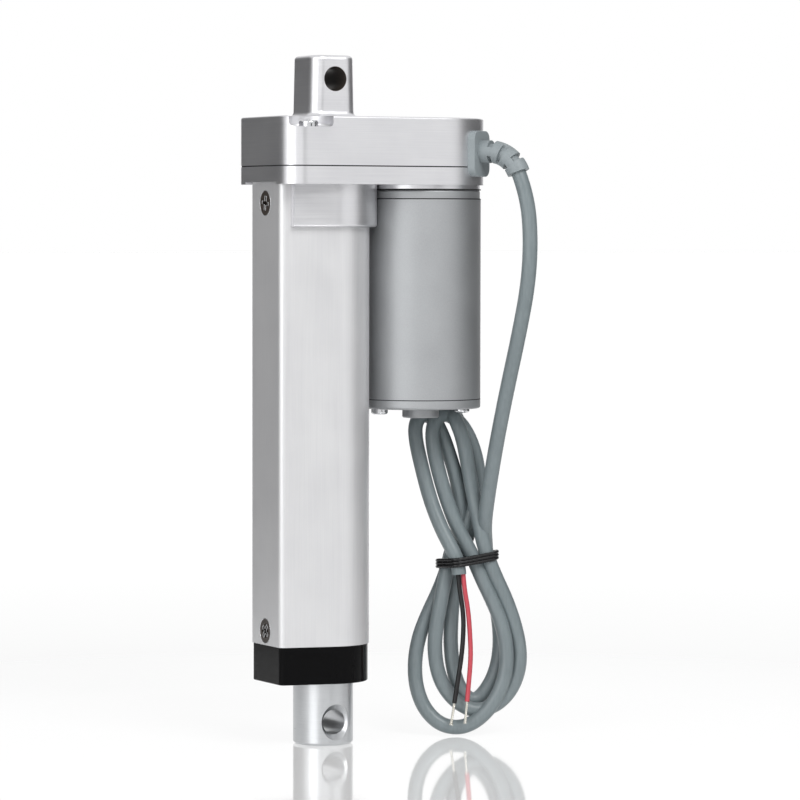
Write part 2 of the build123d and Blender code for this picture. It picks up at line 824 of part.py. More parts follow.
def make_magnets():
    """The two arc magnets in the can."""
    top = core_top + magnet_overhang
    bottom = core_bottom - magnet_overhang
    shell = ring(can_inner_r, magnet_inner_r, top, bottom)
    reach = motor_r * 2
    magnets = []
    for side in (0, 180):
        half = magnet_angle / 2
        wedge = make_face(
            Polyline(
                (0, 0),
                (reach * cos(radians(half)), -reach * sin(radians(half))),
                (reach * 1.5, 0),
                (reach * cos(radians(half)), reach * sin(radians(half))),
                close=True,
            )
        )
        magnet = shell & at_angle(side, prism(wedge, top, bottom))
        magnets.append(motor_place * magnet.solids()[0])
    return Compound(children=magnets)


def slot_shape():
    """One winding slot of the rotor core, seen from above, on the +X side."""
    inner = slot_root_r - 1.0
    outer = core_r - core_rim
    half_step = pi / slot_count
    stem = tooth_stem / 2
    near_half = inner * sin(half_step) - stem
    far_half = outer * sin(half_step) - stem
    corners = [(inner, -near_half), (outer, -far_half), (outer, far_half), (inner, near_half)]
    return make_face(Polyline(*corners, close=True))


def make_core():
    """Laminated rotor core with winding slots."""
    core = ring(core_r, motor_shaft_d / 2, core_top, core_bottom)
    mouth = Pos(core_r - core_rim / 2, 0) * Rectangle(core_rim + 1.0, slot_mouth)
    cut = prism(slot_shape(), core_top, core_bottom) + prism(mouth, core_top, core_bottom)
    for i in range(slot_count):
        core -= at_angle(360 * i / slot_count, cut)
    return motor_place * core


def make_windings():
    """Copper windings: the fill of the slots and the end turns on both ends."""
    outer = core_r - core_rim - 0.4
    top = ring(outer, motor_shaft_d / 2 + 1.6, core_top + end_turn, core_top)
    top = fillet(top.faces().sort_by(Axis.Z)[-1].outer_wire().edges(), 1.8)
    bottom = ring(outer, motor_shaft_d / 2 + 1.6, core_bottom, core_bottom - end_turn)
    bottom = fillet(bottom.faces().sort_by(Axis.Z)[0].outer_wire().edges(), 1.8)
    body = top + bottom
    fill = prism(slot_shape(), core_top, core_bottom)
    for i in range(slot_count):
        body += at_angle(360 * i / slot_count, fill) & pillar(outer, core_top, core_bottom)
    return motor_place * body


def make_commutator():
    """Commutator with its slits."""
    drum = ring(commutator_r, motor_shaft_d / 2, commutator_top, commutator_bottom)
    half = commutator_slit / 2
    slit = block(commutator_r - 0.8, commutator_r + 1, -half, half, commutator_bottom, commutator_top)
    for i in range(slot_count):
        drum -= at_angle(360 * (i + 0.5) / slot_count, slit)
    return motor_place * drum


def make_motor_front_bush():
    """Front bush of the motor shaft."""
    top = bell_top + 1.0
    return ring(motor_bush_d / 2, motor_shaft_d / 2 + running_fit, top, top - motor_bush_length, motor_offset)


def make_motor_rear_bush():
    """Rear bush of the motor shaft, in the end cap's boss."""
    top = can_bottom
    return ring(motor_bush_d / 2, motor_shaft_d / 2 + running_fit, top, top - motor_bush_length, motor_offset)


# Faces of the limit-switch board and of the switches, across the nose
board_back = -tube_nose + tube_wall + 0.1
board_face = board_back + board_thick
switch_face = board_face + switch_depth
plunger_x = (board_face + switch_face) / 2
upper_plunger_tip = nut_top + plunger_gap
upper_switch_bottom = upper_plunger_tip + plunger_out


def make_board():
    """Long narrow board between the two spigots, behind the nut."""
    top = spigot_bottom - board_end_gap
    bottom = cap_spigot_top + 0.3
    return block(board_back, board_face, -board_width / 2, board_width / 2, bottom, top)


def switch(bottom, opens):
    """A limit switch on the board, with a well for its plunger on the side that opens names."""
    half = switch_width / 2
    body = block(board_face, switch_face, -half, half, bottom, bottom + switch_height)
    well = plunger_out + plunger_travel + 0.2
    z = bottom if opens < 0 else bottom + switch_height - well
    return body - pillar(plunger_d / 2 + running_fit, z + well, z, plunger_x)


def make_upper_switch():
    """Limit switch that stops the rod at its inner end."""
    return switch(upper_switch_bottom, -1)


def make_lower_switch():
    """Limit switch that stops the rod at its outer end."""
    return switch(lower_switch_top - switch_height, 1)


def make_upper_plunger():
    """Plunger of the inner limit switch."""
    return pillar(plunger_d / 2, upper_switch_bottom + plunger_out, upper_plunger_tip, plunger_x)


def make_lower_plunger():
    """Plunger of the outer limit switch."""
    return pillar(plunger_d / 2, lower_plunger_tip, lower_switch_top - plunger_out, plunger_x)


def bend_section(outline, start, sweep):
    """Carry a section of the boot round its bend, from one angle to another."""
    axis = Axis((grommet_face + boot_lead, 0, boot_z - boot_bend_r), (0, 1, 0))
    face = Plane((grommet_face + boot_lead, 0, boot_z), x_dir=(0, 1, 0), z_dir=(1, 0, 0)) * outline
    return revolve(face, axis, sweep).rotate(axis, start)


def make_grommet():
    """Grey moulded grommet: plate, neck, inner flange and the slotted boot."""
    half_w = grommet_width / 2
    half_h = grommet_height / 2
    plate_plane = Plane((gearbox_half - wall, 0, grommet_mid), x_dir=(0, 1, 0), z_dir=(1, 0, 0))
    outline = plate_plane * RectangleRounded(grommet_width, grommet_height, grommet_corner_r)
    plate = extrude(outline, grommet_face - gearbox_half + wall)
    plate = fillet(plate.faces().sort_by(Axis.X)[-1].edges(), grommet_edge_r)
    plate -= pillar(gearbox_half, 0, -hole_to_gearbox - 40)
    neck_mid = seam_top + grommet_neck_h / 2
    inner = gearbox_half - wall - grommet_flange
    neck = Pos((inner + gearbox_half + 0.6) / 2, 0, neck_mid) * Box(
        gearbox_half + 0.6 - inner, grommet_neck_w, grommet_neck_h
    )
    flange = Pos(inner, 0, neck_mid) * Box(grommet_flange * 2, grommet_neck_w + 3, grommet_neck_h - 0.2)
    flange &= pillar(gearbox_half - wall - 0.05, 0, -hole_to_gearbox - 40)
    body = plate + neck + flange

    barrel = Circle(boot_d / 2)
    plane = Plane((grommet_face - 0.5, 0, boot_z), x_dir=(0, 1, 0), z_dir=(1, 0, 0))
    body += extrude(plane * barrel, boot_lead + 0.5)
    boot = bend_section(barrel, 0, boot_bend)
    around = Circle(boot_d / 2 + 1) - Circle(boot_core_d / 2)
    side_windows = around - Rectangle(boot_rib, boot_d + 2)
    top_windows = around - Rectangle(boot_d + 2, boot_rib)
    for i in range(boot_slots):
        windows = side_windows if i % 2 else top_windows
        for face in windows.faces():
            boot -= bend_section(face, boot_first_slot + i * boot_pitch, boot_slot)
    body += boot
    return grommet_place(body)


def upright(across, back, height):
    """A point in the hank's upright plane: across it, behind the tube's axis, and its height."""
    turn = radians(hank_turn)
    return (across * cos(turn) - back * sin(turn), across * sin(turn) + back * cos(turn), height)


def boot_end():
    """Where the cable leaves the boot, and the way it points there."""
    bend = radians(boot_bend)
    reach = grommet_face + boot_lead + boot_bend_r * sin(bend)
    turn = radians(grommet_turn)
    way = Vector(cos(bend) * cos(turn), cos(bend) * sin(turn), -sin(bend))
    height = boot_z - boot_bend_r * (1 - cos(bend))
    place = Vector(motor_offset + reach * cos(turn), reach * sin(turn), height)
    return place, way


# The cable's route from the boot to the hank, chosen by hand
cable_points = [
    upright(68.9, -1.6, -52.0),
    upright(68.2, -0.6, -67.5),
    upright(65.2, 3.4, -85.0),
    upright(61.4, 8.6, -104.0),
    upright(58.3, 13.8, -121.5),
    upright(55.8, 18.4, -138.5),
    upright(54.2, 22.6, -153.0),
]
red_points = [
    (46.5, 0.0, tail_end),
    (46.5, 0.0, -171.0),
    (48.9, 0.0, -180.5),
    (49.9, -0.2, -193.5),
    (48.9, -0.3, -209.2),
]
black_points = [
    (44.7, 0.0, tail_end),
    (44.7, 0.0, -171.0),
    (46.2, 0.0, -180.0),
    (46.3, -0.2, -193.5),
    (44.9, -0.3, -209.8),
]
tip_drop = 7.4


def cord_path(points, label):
    """Straight runs joined by arcs as large as the runs allow."""
    radii = []
    for before, here, after in zip(points, points[1:], points[2:]):
        run_in = Vector(here) - Vector(before)
        run_out = Vector(after) - Vector(here)
        half_turn = radians(run_in.get_angle(run_out)) / 2
        radii.append(0.45 * min(run_in.length, run_out.length) / tan(half_turn))
    print(label, "radii", [round(r, 1) for r in radii])
    return FilletPolyline(*points, radius=radii)


def cord(points, diameter, label):
    """A cord's tube along its route."""
    path = cord_path(points, label)
    section = Plane(path @ 0, z_dir=path % 0) * Circle(diameter / 2)
    tube = sweep(section, path)
    expected = pi * diameter**2 / 4 * path.length
    print(label, "length", round(path.length, 1), "volume share", round(tube.volume / expected, 4))
    return tube


def lean(shape):
    """Lean the hank back about its foot and turn it to face the front left."""
    foot = Pos(0, 0, tip_bottom + 0.4)
    return at_angle(hank_turn, Pos(0, hank_back, 0) * foot * Rot(-hank_lean, 0, 0) * foot.inverse() * shape)


def make_hank():
    """Outer shape of the tied loops of cable, with the cut end of the jacket in front."""
    low = tip_bottom + 0.4
    outline = Spline(
        (45.5, low),
        (57.5, low + 5.5),
        (67.2, low + 16.0),
        (69.3, low + 27.5),
        (64.6, low + 43.0),
        (57.9, tie_z),
        (54.5, -143.0),
        (50.4, -121.0),
        (45.5, -112.6),
        (38.5, -110.6),
        (31.5, -113.6),
        (29.4, -121.0),
        (32.3, -136.0),
        (38.6, -153.0),
        (39.9, tie_z),
        (36.6, low + 45.0),
        (30.6, low + 34.0),
        (28.8, low + 22.0),
        (33.6, low + 7.0),
        periodic=True,
    )
    slab = extrude(Plane.XZ * make_face(outline), hank_thick / 2, both=True)
    slab = fillet(slab.edges().filter_by(GeomType.BSPLINE), hank_edge_r)
    tail = pillar(cable_d / 2, tail_top, tail_end, tail_across, tail_back())
    return lean(slab + tail)


def tail_back():
    """How far the jacket's cut end lies in front of the hank's middle plane."""
    return -hank_thick / 2 - cable_d / 2 + 0.6


def make_tie(hank):
    """Wire tie wound round the hank's waist and the jacket's end."""
    middle = Pos((tie_left + tie_right) / 2, 0)
    loop = middle * RectangleRounded(tie_right - tie_left, hank_thick, hank_edge_r)
    tail = Pos(tail_across, tail_back()) * Circle(cable_d / 2)
    inner = make_hull(loop.edges() + tail.edges())
    band = offset(inner, tie_thick) - inner
    return lean(prism(band, tie_z + tie_height / 2, tie_z - tie_height / 2)) - hank


def lead_route(points):
    """A lead's route in front of the hank, leaning with it."""
    foot = tip_bottom + 0.4
    slope = radians(hank_lean)
    route = []
    for across, front, height in points:
        y = tail_back() + front
        rise = height - foot
        back = hank_back + y * cos(slope) + rise * sin(slope)
        route.append(upright(across, back, foot - y * sin(slope) + rise * cos(slope)))
    return route


def make_lead(points, label):
    """One thin lead from the jacket's cut end."""
    return cord(lead_route(points), lead_d, label)


def make_tip(points):
    """The tinned end of a lead."""
    route = lead_route(points)
    end = Vector(route[-1])
    way = (end - Vector(route[-2])).normalized()
    return Solid.make_cylinder(tinned_d / 2, tip_drop, Plane(end, z_dir=way))


def main():
    """Make every piece and write it to its own file."""
    hank = make_hank()
    exit_point, exit_way = boot_end()
    route = [exit_point, exit_point + exit_way * exit_run] + cable_points
    cable = cord(route, cable_d, "power_cable") - hank
    pieces = {
        "gearbox_upper_housing": make_upper_housing(),
        "housing_gasket": make_gasket(),
        "gearbox_lower_housing": make_lower_housing(),
        "housing_screws": make_case_screws(),
        "outer_tube": make_tube(),
        "tube_screws": make_tube_screws(),
        "front_cap": make_front_cap(),
        "rod_guide_bush": make_guide_bush(),
        "rod_wiper": make_wiper(),
        "rod_tube": make_rod_tube(),
        "rod_end": make_rod_end(),
        "lead_nut": make_lead_nut(),
        "lead_screw": make_lead_screw(),
        "screw_spacer": make_screw_spacer(),
        "screw_gear": make_screw_gear(),
        "bearing_outer_ring": race(bearing_od / 2, outer_race_r),
        "bearing_inner_ring": race(inner_race_r, journal_d / 2),
        "bearing_balls": make_balls(),
        "bearing_cage": make_cage(),
        "bearing_circlip": make_circlip(),
        "idler_gear": make_idler_gear(),
        "idler_shaft": make_idler_shaft(),
        "motor_pinion": make_motor_pinion(),
        "motor_shaft": make_motor_shaft(),
        "motor_front_bell": make_motor_front_bell(),
        "motor_can": make_motor_can(),
        "motor_end_cap": make_motor_end_cap(),
        "motor_end_screws": make_end_screws(),
        "motor_mount_screws": make_mount_screws(),
        "motor_magnets": make_magnets(),
        "armature_core": make_core(),
        "armature_windings": make_windings(),
        "commutator": make_commutator(),
        "motor_brushes": make_brushes(),
        "motor_front_bush": make_motor_front_bush(),
        "motor_rear_bush": make_motor_rear_bush(),
        "limit_switch_board": make_board(),
        "upper_limit_switch": make_upper_switch(),
        "lower_limit_switch": make_lower_switch(),
        "upper_switch_plunger": make_upper_plunger(),
        "lower_switch_plunger": make_lower_plunger(),
        "cable_grommet": make_grommet(),
        "power_cable": cable,
        "cable_hank": hank,
        "cable_tie": make_tie(hank),
        "red_lead": make_lead(red_points, "red_lead"),
        "black_lead": make_lead(black_points, "black_lead"),
        "red_lead_tip": make_tip(red_points),
        "black_lead_tip": make_tip(black_points),
    }
    os.makedirs("parts", exist_ok=True)
    for name, piece in pieces.items():
        export_step(piece, "parts/" + name + ".step")


main()
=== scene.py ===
import json
from math import cos, pi, radians, sin

import bpy
from mathutils import Matrix, Vector


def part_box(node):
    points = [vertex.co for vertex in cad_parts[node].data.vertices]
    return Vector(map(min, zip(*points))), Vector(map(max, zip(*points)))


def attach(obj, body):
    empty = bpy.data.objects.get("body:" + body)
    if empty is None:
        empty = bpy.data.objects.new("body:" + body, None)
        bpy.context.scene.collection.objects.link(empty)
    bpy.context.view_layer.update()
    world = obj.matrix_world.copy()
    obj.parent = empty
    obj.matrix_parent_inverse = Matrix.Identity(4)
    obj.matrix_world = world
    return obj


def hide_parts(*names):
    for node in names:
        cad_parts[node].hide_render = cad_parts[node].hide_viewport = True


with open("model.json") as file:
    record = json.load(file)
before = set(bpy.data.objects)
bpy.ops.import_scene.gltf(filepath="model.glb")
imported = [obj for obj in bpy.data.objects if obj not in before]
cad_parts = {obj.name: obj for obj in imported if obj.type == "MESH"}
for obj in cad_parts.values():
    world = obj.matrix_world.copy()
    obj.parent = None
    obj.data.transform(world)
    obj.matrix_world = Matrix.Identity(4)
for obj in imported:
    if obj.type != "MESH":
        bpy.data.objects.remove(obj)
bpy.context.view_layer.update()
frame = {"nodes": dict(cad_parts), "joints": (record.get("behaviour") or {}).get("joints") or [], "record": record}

MM = 0.001
scene = bpy.context.scene
nodes = frame["nodes"]

# Camera: at the height of the motor's top, left of the front, and tilted down a little. These values
# put the pin holes, the tube's corners and the motor where the photograph has them.
CAMERA_PLACE = (-592.51 * MM, -1214.78 * MM, -50.64 * MM)
CAMERA_AZIMUTH = -27.084
CAMERA_TILT = -2.359
CAMERA_ROLL = 0.084
FOCAL_PIXELS = 4064.63
PICTURE = 800
SENSOR = 36.0
NEAREST, FARTHEST = 0.05, 100.0

azimuth, tilt, roll = radians(CAMERA_AZIMUTH), radians(CAMERA_TILT), radians(CAMERA_ROLL)
camera_data = bpy.data.cameras.new("camera")
camera = bpy.data.objects.new("camera", camera_data)
scene.collection.objects.link(camera)
scene.camera = camera
ahead = Vector((-sin(azimuth) * cos(tilt), cos(azimuth) * cos(tilt), sin(tilt)))
level_right = Vector((cos(azimuth), sin(azimuth), 0))
level_up = level_right.cross(ahead)
across_way = level_right * cos(roll) + level_up * sin(roll)
up_way = level_up * cos(roll) - level_right * sin(roll)
turned = Matrix((across_way, up_way, -ahead)).transposed().to_4x4()
camera.matrix_world = Matrix.Translation(CAMERA_PLACE) @ turned
camera_data.sensor_width = SENSOR
camera_data.lens = FOCAL_PIXELS * SENSOR / PICTURE
camera_data.clip_start, camera_data.clip_end = NEAREST, FARTHEST


def linear(code):
    """Linear colour from an sRGB hex code."""
    values = [int(code[i:i + 2], 16) / 255 for i in (1, 3, 5)]
    return [v / 12.92 if v <= 0.04045 else ((v + 0.055) / 1.055) ** 2.4 for v in values] + [1.0]


def add(tree, kind, settings=None, links=None):
    """Add one shader node, with its settings by property or socket name and its links by socket."""
    node = tree.nodes.new("ShaderNode" + kind)
    for name, value in (settings or {}).items():
        if isinstance(name, str) and hasattr(node, name):
            setattr(node, name, value)
        else:
            node.inputs[name].default_value = value
    for name, source in (links or {}).items():
        tree.links.new(source, node.inputs[name])
    return node


# Size of the wide, faint wear, its share beside the grain, and the part of their range that the
# colours and the roughness span
WEAR_MM = 14.0
WEAR_SHARE = 0.5
SPREAD = (0.3, 0.7)


def surface(
    name, dark, light, rough, grain, bump_mm,
    metallic=0.0, ior=1.5, specular=0.5, coat=0.0, grains="TexNoise",
):
    """A surface: its grain, in mm along x, y and z, turns the colour from dark to light and the
    roughness from its first value to its second, and stands bump_mm high."""
    material = bpy.data.materials.new(name)
    material.use_nodes = True
    tree = material.node_tree
    tree.nodes.clear()
    where = add(tree, "TexCoord").outputs["Object"]
    per_metre = [1 / (size * MM) for size in grain]
    place = add(tree, "Mapping", {"Scale": per_metre}, {"Vector": where}).outputs[0]
    marks = add(tree, grains, {"Scale": 1.0}, {"Vector": place}).outputs[0]
    wear_scale = {"Scale": 1 / (WEAR_MM * MM), "Detail": 4.0}
    worn = add(tree, "TexNoise", wear_scale, {"Vector": where}).outputs[0]
    blend = {"data_type": "FLOAT", 0: WEAR_SHARE}
    mixed = add(tree, "Mix", blend, {2: marks, 3: worn}).outputs[0]
    colours = add(tree, "ValToRGB", links={"Fac": mixed})
    ramp = colours.color_ramp.elements
    ramp[0].position, ramp[1].position = SPREAD
    ramp[0].color, ramp[1].color = linear(dark), linear(light)
    reach = {"From Min": SPREAD[0], "From Max": SPREAD[1], "To Min": rough[0], "To Max": rough[1]}
    gloss = add(tree, "MapRange", reach, {"Value": mixed}).outputs[0]
    raised = {"Strength": 1.0, "Distance": bump_mm * MM}
    height = add(tree, "Bump", raised, {"Height": marks}).outputs[0]
    shader = add(
        tree,
        "BsdfPrincipled",
        {"Metallic": metallic, "IOR": ior, "Specular IOR Level": specular, "Coat Weight": coat},
        {"Base Color": colours.outputs[0], "Roughness": gloss, "Normal": height},
    )
    add(tree, "OutputMaterial", links={"Surface": shader.outputs[0]})
    return material


LOOKS = {
    # Die-cast aluminium under silver lacquer, rubbed level: bright and soft, with faint long marks.
    # The marks are 0.1 mm wide in the real paint and 0.3 mm here, so that they show.
    "cast_silver_paint": surface(
        "lacquered_die_cast_aluminium", "#cfcfd2", "#dadadc", rough=(0.3, 0.38), grain=(22, 22, 0.3),
        bump_mm=0.002, metallic=0.9, coat=0.08,
    ),
    # Pressed fibre sheet: black, dull, with short fibres
    "dark_gasket": surface(
        "pressed_fibre_sheet", "#161617", "#232325", rough=(0.75, 0.9), grain=(0.9, 0.3, 0.3),
        bump_mm=0.02,
    ),
    # Cold-headed steel, bright zinc plate: a clear hard shine
    "plated_steel": surface(
        "zinc_plated_steel", "#c2c3c6", "#d6d7d9", rough=(0.16, 0.26), grain=(0.6, 0.6, 0.6),
        bump_mm=0.003, metallic=1.0,
    ),
    # Extruded aluminium, etched and clear anodised: satin, with the die's fine lines along it
    "anodised_tube": surface(
        "satin_anodised_aluminium_extrusion", "#d2d2d4", "#dadadb", rough=(0.34, 0.42),
        grain=(0.35, 0.35, 25), bump_mm=0.002, metallic=0.5,
    ),
    # Black oxide on steel: dark, a little oily
    "dark_screw": surface(
        "black_oxide_steel", "#312c28", "#524a44", rough=(0.32, 0.46), grain=(0.5, 0.5, 0.5),
        bump_mm=0.005, metallic=0.4,
    ),
    # Glass-filled nylon from a polished mould: deep black with a thin clear highlight
    "black_cap": surface(
        "moulded_black_nylon", "#070708", "#0b0b0c", rough=(0.12, 0.2), grain=(0.7, 0.7, 0.7),
        bump_mm=0.003, ior=1.53, specular=0.06,
    ),
    # Unfilled acetal, turned: milky, waxy
    "guide_plastic": surface(
        "turned_natural_acetal", "#d8d4c6", "#e6e3d8", rough=(0.36, 0.46), grain=(9, 9, 0.2),
        bump_mm=0.003, ior=1.48,
    ),
    # Moulded nitrile rubber: dull black
    "wiper_rubber": surface(
        "moulded_nitrile_rubber", "#0f0f10", "#1a1a1b", rough=(0.5, 0.65), grain=(0.5, 0.5, 0.5),
        bump_mm=0.005, ior=1.52, specular=0.3,
    ),
    # Drawn aluminium tube, turned and rolled smooth: satin, with long soft bands of light.
    # Its rings are 0.02 mm apart in the real one and 0.2 mm here.
    "polished_rod": surface(
        "rolled_aluminium_tube", "#b6b8ba", "#c3c5c7", rough=(0.27, 0.35), grain=(9, 9, 0.2),
        bump_mm=0.001, metallic=1.0,
    ),
    # Thread-rolled carbon steel with a film of grease: greyish yellow, soft shine
    "screw_steel": surface(
        "thread_rolled_steel", "#8a8781", "#a5a29b", rough=(0.25, 0.38), grain=(0.4, 0.4, 0.4),
        bump_mm=0.004, metallic=1.0,
    ),
    # Through-hardened steel, ground: bright, with rings along the grinding
    "bearing_steel": surface(
        "ground_bearing_steel", "#b5b6b8", "#c9cacc", rough=(0.1, 0.18), grain=(6, 6, 0.15),
        bump_mm=0.001, metallic=1.0,
    ),
    # Pressed brass sheet: warm, satin
    "bearing_cage": surface(
        "pressed_brass_sheet", "#b08a45", "#c6a15a", rough=(0.28, 0.4), grain=(0.6, 0.6, 0.6),
        bump_mm=0.006, metallic=1.0,
    ),
    # Moulded acetal copolymer: white, waxy, slightly uneven gloss
    "gear_plastic": surface(
        "moulded_white_acetal", "#d9d6ca", "#e8e6dc", rough=(0.36, 0.46), grain=(1, 1, 1), bump_mm=0.005,
        ior=1.48,
    ),
    # Pressed and sintered iron powder: grey with open pores of about 0.1 mm, drawn 0.3 mm wide
    "pinion_steel": surface(
        "sintered_iron", "#77746f", "#918e88", rough=(0.4, 0.55), grain=(0.3, 0.3, 0.3), bump_mm=0.012,
        metallic=1.0, grains="TexVoronoi",
    ),
    # Deep-drawn steel can under sprayed silver paint: metallic flake, an even soft shine
    "motor_silver": surface(
        "sprayed_silver_on_steel", "#9b9d9f", "#a6a8aa", rough=(0.48, 0.56), grain=(0.4, 0.4, 0.4),
        bump_mm=0.004, metallic=0.75,
    ),
    # Hard ferrite, ground: dark grey, dull
    "ferrite": surface(
        "ground_ferrite", "#2b2c2e", "#3a3b3d", rough=(0.5, 0.65), grain=(0.5, 0.5, 0.5), bump_mm=0.008,
        metallic=0.1,
    ),
    # Electrical sheet, 0.5 mm thick, stacked: fine rings across the core
    "core_laminations": surface(
        "stacked_electrical_sheet", "#6c6d70", "#8b8c90", rough=(0.35, 0.5), grain=(20, 20, 0.5),
        bump_mm=0.02, metallic=1.0,
    ),
    # Enamelled copper wire, 0.5 mm: red brown with a varnish shine
    "copper_wire": surface(
        "enamelled_copper_wire", "#a34a21", "#c06a3a", rough=(0.22, 0.34), grain=(0.5, 0.5, 12),
        bump_mm=0.03, metallic=0.9, coat=0.3,
    ),
    # Pressed carbon and copper powder: black, dull, gritty
    "carbon": surface(
        "pressed_carbon", "#141414", "#222222", rough=(0.55, 0.7), grain=(0.3, 0.3, 0.3), bump_mm=0.01,
        metallic=0.1,
    ),
    # Sintered bronze with oil in its pores: brown gold; pores as in the iron above
    "sintered_bronze": surface(
        "sintered_bronze", "#8f6e3f", "#a98650", rough=(0.38, 0.52), grain=(0.3, 0.3, 0.3), bump_mm=0.012,
        metallic=1.0, grains="TexVoronoi",
    ),
    # Glass-epoxy board under green solder mask: glassy green with the weave faintly below
    "circuit_board": surface(
        "solder_masked_board", "#0c4a26", "#12592f", rough=(0.22, 0.3), grain=(0.4, 0.4, 1.5),
        bump_mm=0.004, coat=0.3,
    ),
    # Moulded polyester: black, satin
    "switch_body": surface(
        "moulded_black_polyester", "#141415", "#1f1f21", rough=(0.42, 0.52), grain=(0.6, 0.6, 0.6),
        bump_mm=0.006,
    ),
    # Moulded natural nylon: off-white, soft shine
    "plunger_white": surface(
        "moulded_natural_nylon", "#cfcfca", "#dededa", rough=(0.36, 0.46), grain=(0.8, 0.8, 0.8),
        bump_mm=0.004,
    ),
    # Soft PVC moulded on the cable: the cable's grey, a little duller
    "grommet_grey": surface(
        "moulded_soft_pvc", "#868e91", "#929a9d", rough=(0.42, 0.55), grain=(0.6, 0.6, 0.6),
        bump_mm=0.008, specular=0.4,
    ),
    # Extruded PVC jacket: smooth grey with faint long streaks of gloss
    "cable_grey": surface(
        "extruded_grey_pvc", "#747e81", "#828c8f", rough=(0.28, 0.4), grain=(0.8, 0.8, 6), bump_mm=0.004,
        specular=0.4,
    ),
    # Plastic-covered wire: black with a clear shine
    "tie_black": surface(
        "plastic_covered_wire", "#0c0c0d", "#18181a", rough=(0.22, 0.34), grain=(0.5, 0.5, 0.5),
        bump_mm=0.006, specular=0.35,
    ),
    # Extruded PVC insulation: even colour, soft shine
    "lead_red": surface(
        "extruded_red_pvc", "#bd3f4b", "#c9505b", rough=(0.36, 0.48), grain=(0.6, 0.6, 5), bump_mm=0.004,
    ),
    "lead_black": surface(
        "extruded_black_pvc", "#111112", "#1b1b1c", rough=(0.32, 0.44), grain=(0.6, 0.6, 5),
        bump_mm=0.004, specular=0.35,
    ),
    # Copper strands dipped in solder: white metal, uneven bright shine
    "tinned_strands": surface(
        "solder_dipped_strands", "#c4c2ba", "#dad8d0", rough=(0.16, 0.3), grain=(0.3, 0.3, 0.3),
        bump_mm=0.01, metallic=1.0,
    ),
}
SLOT_OF = {part["node"]: part["material_slot"] for part in frame["record"]["subparts"]}
for name, obj in nodes.items():
    obj.data.materials.clear()
    obj.data.materials.append(LOOKS[SLOT_OF[name]])


def join_scene(obj, slot_name, body="housing"):
    """Put a new piece in the scene with its finish, on its body."""
    scene.collection.objects.link(obj)
    obj.data.materials.append(LOOKS[slot_name])
    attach(obj, body)
    return obj


def wire(name, runs, radius_mm, slot_name, body="housing", resolution=10):
    """Round wires or cords of one thickness, each an open NURBS spline through its run of points."""
    data = bpy.data.curves.new(name, "CURVE")
    data.dimensions = "3D"
    data.resolution_u = resolution
    data.bevel_depth = radius_mm * MM
    data.bevel_resolution = 6
    data.use_fill_caps = True
    for run in runs:
        spline = data.splines.new("NURBS")
        spline.points.add(len(run) - 1)
        for point, place in zip(spline.points, run):
            point.co = (*place, 1.0)
        spline.order_u = 3
        spline.use_endpoint_u = True
    return join_scene(bpy.data.objects.new(name, data), slot_name, body)


# The lead screw's thread, one start of 4 mm per turn, on the plain core of the model. It ends 1.5 mm
# above the screw's foot.
THREAD_PITCH, THREAD_R, THREAD_CREST = 4.0, 4.35, 0.55
THREAD_TOP, PLAIN_FOOT = -43.0, 1.5
TURN_STEPS = 14


def thread_point(step):
    """A point of the thread's helix."""
    angle = 2 * pi * step / TURN_STEPS
    height = THREAD_TOP - THREAD_PITCH * step / TURN_STEPS
    return Vector((THREAD_R * cos(angle), THREAD_R * sin(angle), height)) * MM


thread_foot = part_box("lead_screw")[0].z / MM + PLAIN_FOOT
thread_steps = int((THREAD_TOP - thread_foot) / THREAD_PITCH * TURN_STEPS)
thread_run = [thread_point(step) for step in range(thread_steps)]
wire("lead_screw_thread", [thread_run], THREAD_CREST, "screw_steel", "screw", 2)

# The shadow lines in the motor's three seams: above the front bell and at both ends of the can. The
# seams are 0.3 mm wide in the model, and the lines 0.4 mm, so that they show.
SEAM, BELL_HEIGHT = 0.3, 2.85
SEAM_LINE_R, SEAM_DEPTH = 0.2, 0.1
joint_places = {joint["name"]: joint.get("pos_m") for joint in frame["joints"]}
motor_x = joint_places["rotor_spin"][0] / MM
can_low, can_high = (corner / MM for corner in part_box("motor_can"))
can_top_seam = can_high.z + SEAM / 2
seam_levels = (can_top_seam + SEAM + BELL_HEIGHT, can_top_seam, can_low.z - SEAM / 2)


def ring_points(radius, steps=48):
    """Points round a circle, from its start to one step past it, which closes the ring."""
    angles = [2 * pi * step / steps for step in range(steps + 2)]
    return [(radius * cos(a), radius * sin(a)) for a in angles]


seam_circle = ring_points(can_high.x - motor_x - SEAM_DEPTH)
seam_rings = [[Vector((motor_x + x, y, z)) * MM for x, y in seam_circle] for z in seam_levels]
wire("motor_seam_lines", seam_rings, SEAM_LINE_R, "dark_gasket", resolution=3)

# Painted highlight on the tube's dark screws: bright plated wires round the head and along the cross,
# whose corners are given twice to keep them sharp. Their middle lies just in front of the heads.
SCREW_LEVELS = (-41.0, -182.5)
HEAD_R, CROSS_HALF, ARM_HALF = 4.1, 2.34, 0.56
EDGE_R, EDGE_PROUD = 0.1, 0.01
CROSS = [
    (ARM_HALF, ARM_HALF), (ARM_HALF, CROSS_HALF), (-ARM_HALF, CROSS_HALF), (-ARM_HALF, ARM_HALF),
    (-CROSS_HALF, ARM_HALF), (-CROSS_HALF, -ARM_HALF), (-ARM_HALF, -ARM_HALF), (-ARM_HALF, -CROSS_HALF),
    (ARM_HALF, -CROSS_HALF), (ARM_HALF, -ARM_HALF), (CROSS_HALF, -ARM_HALF), (CROSS_HALF, ARM_HALF),
]
SCREW_TURNS = (8, 38)
edge_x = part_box("tube_screws")[0].x / MM - EDGE_PROUD
highlight_runs = []
